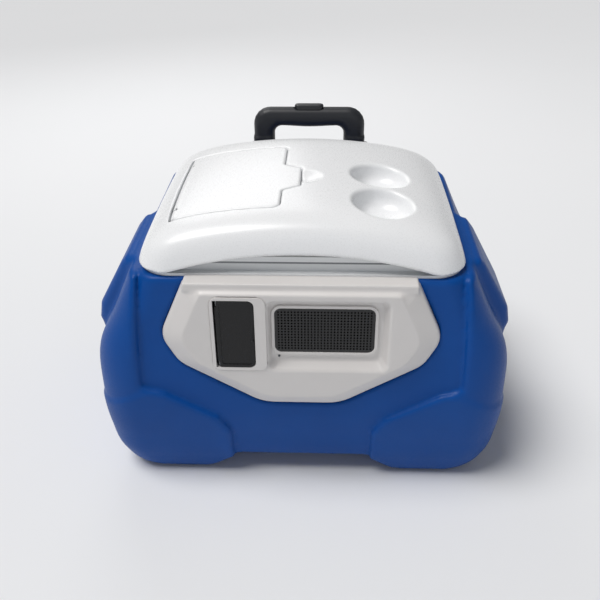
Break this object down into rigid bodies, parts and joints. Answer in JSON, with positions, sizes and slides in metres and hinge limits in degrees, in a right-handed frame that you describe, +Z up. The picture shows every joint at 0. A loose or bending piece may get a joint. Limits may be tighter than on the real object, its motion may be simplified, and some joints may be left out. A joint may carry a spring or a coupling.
{
  "type": "wheeled cooler box",
  "caption": "Wheeled insulated cooler box with domed hinged lid, quick-access hatch, cup holders, speaker panel with charging compartment and telescopic pull handle.",
  "frame": {"origin": "on the ground, at the centre of the bounding box's footprint", "axes": "+X to the right of someone facing the speaker panel, +Y towards the pull handle at the back, +Z up"},
  "size_m": [0.58, 0.4822, 0.417],
  "materials": {
    "shell_blue": "rotomoulded polyethylene, fine orange-peel, satin",
    "foam": "rigid expanded foam, white",
    "white_inner": "satin white",
    "white_gloss": "semi-gloss white",
    "rubber_black": "matt",
    "rubber_grey": "soft matt seal",
    "nylon_black": "glass-filled nylon",
    "black_grille": "fine satin",
    "black_matte": "matt",
    "black_gloss": "satin-gloss black",
    "steel_black": "black painted steel",
    "magnet_grey": "sintered",
    "cone_black": "woven cone",
    "board_green": "circuit board",
    "wrap_blue": "shrink wrap",
    "bright_metal": "bright",
    "lens_clear": "clear lens",
    "tube_dark": "dark anodised",
    "grip_charcoal": "soft-touch charcoal",
    "grip_button": "satin charcoal",
    "wheel_grey": "moulded nylon",
    "tyre_black": "moulded rubber"
  },
  "bodies": {
    "cooler": {"outer_shell": "shell_blue", "insulation_foam": "foam", "inner_liner": "white_inner", "foot_pads": "rubber_black", "front_panel": "white_gloss", "panel_clips": "nylon_black", "speaker_frame": "white_gloss", "speaker_grille": "black_grille", "speaker_box": "black_matte", "driver_baskets": "steel_black", "driver_magnets": "magnet_grey", "driver_cones": "cone_black", "driver_surrounds": "rubber_black", "amplifier_board": "board_green", "battery_pack": "wrap_blue", "door_bezel": "white_gloss", "charger_tray": "black_matte", "usb_sockets": "bright_metal", "status_led": "lens_clear", "door_pin": "bright_metal", "hinge_body_leaves": "nylon_black", "hinge_pins": "bright_metal", "hinge_screws": "bright_metal", "handle_bracket": "nylon_black", "lower_bracket": "nylon_black", "handle_screws": "bright_metal", "outer_tubes": "tube_dark", "axle_sleeve": "nylon_black", "wheel_axle": "bright_metal", "axle_caps": "nylon_black", "drain_fitting": "white_inner", "drain_gasket": "rubber_black", "drain_nut": "white_inner"},
    "lid": {"lid_shell": "white_gloss", "lid_tray": "white_inner", "lid_foam": "foam", "lid_gasket": "rubber_grey", "hatch_frame": "white_inner", "hatch_pins": "bright_metal", "hinge_lid_leaves": "nylon_black"},
    "hatch": {"hatch_door": "white_gloss", "hatch_seal": "rubber_grey"},
    "middle_stage": {"middle_tubes": "tube_dark", "guide_rings": "nylon_black"},
    "pull_grip": {"inner_tubes": "tube_dark", "grip": "grip_charcoal"},
    "release": {"release_button": "grip_button", "push_yoke": "nylon_black", "button_spring": "bright_metal"},
    "pin_right": {"lock_pin_right": "bright_metal"},
    "pin_left": {"lock_pin_left": "bright_metal"},
    "right_wheel": {"wheel_right": "wheel_grey", "tyre_right": "tyre_black", "bush_right": "nylon_black"},
    "left_wheel": {"wheel_left": "wheel_grey", "tyre_left": "tyre_black", "bush_left": "nylon_black"},
    "charger_cover": {"charger_door": "black_gloss"},
    "power_key": {"power_button": "black_gloss"},
    "drain_plug": {"drain_cap": "white_gloss"}
  },
  "joints": [
    {"name": "lid_hinge", "type": "hinge", "parent": "cooler", "child": "lid", "pos_m": [0, 0.152, 0.352], "axis": [-1, 0, 0], "range_deg": [0, 90]},
    {"name": "hatch_hinge", "type": "hinge", "parent": "lid", "child": "hatch", "pos_m": [-0.163, -0.054, 0.37625], "axis": [0, -1, 0], "range_deg": [0, 95]},
    {"name": "middle_slide", "type": "slide", "parent": "cooler", "child": "middle_stage", "axis": [0, 0, 1], "range_m": [0, 0.205]},
    {"name": "inner_slide", "type": "slide", "parent": "middle_stage", "child": "pull_grip", "axis": [0, 0, 1], "range_m": [0, 0.205]},
    {"name": "release_press", "type": "slide", "parent": "pull_grip", "child": "release", "axis": [0, 0, -1], "range_m": [0, 0.004], "stiffness_N_per_m": 2500, "springref_m": -0.001},
    {"name": "pin_right_slide", "type": "slide", "parent": "pull_grip", "child": "pin_right", "axis": [-1, 0, 0], "range_m": [0, 0.002]},
    {"name": "pin_left_slide", "type": "slide", "parent": "pull_grip", "child": "pin_left", "axis": [1, 0, 0], "range_m": [0, 0.002]},
    {"name": "right_wheel_spin", "type": "hinge", "parent": "cooler", "child": "right_wheel", "pos_m": [0.246, 0.169, 0.072], "axis": [1, 0, 0], "continuous": true},
    {"name": "left_wheel_spin", "type": "hinge", "parent": "cooler", "child": "left_wheel", "pos_m": [-0.246, 0.169, 0.072], "axis": [1, 0, 0], "continuous": true},
    {"name": "charger_door_hinge", "type": "hinge", "parent": "cooler", "child": "charger_cover", "pos_m": [-0.1042, -0.238, 0.2585], "axis": [0, 0, -1], "range_deg": [0, 100]},
    {"name": "power_press", "type": "slide", "parent": "cooler", "child": "power_key", "axis": [0, 1, 0], "range_m": [0, 0.0015], "stiffness_N_per_m": 1200, "springref_m": -0.0008},
    {"name": "drain_cap_pull", "type": "slide", "parent": "cooler", "child": "drain_plug", "axis": [1, 0, 0], "range_m": [0, 0.03]}
  ],
  "couplings": [
    {"joint": "pin_right_slide", "follows": "release_press", "ratio": 0.5},
    {"joint": "pin_left_slide", "follows": "release_press", "ratio": 0.5}
  ]
}
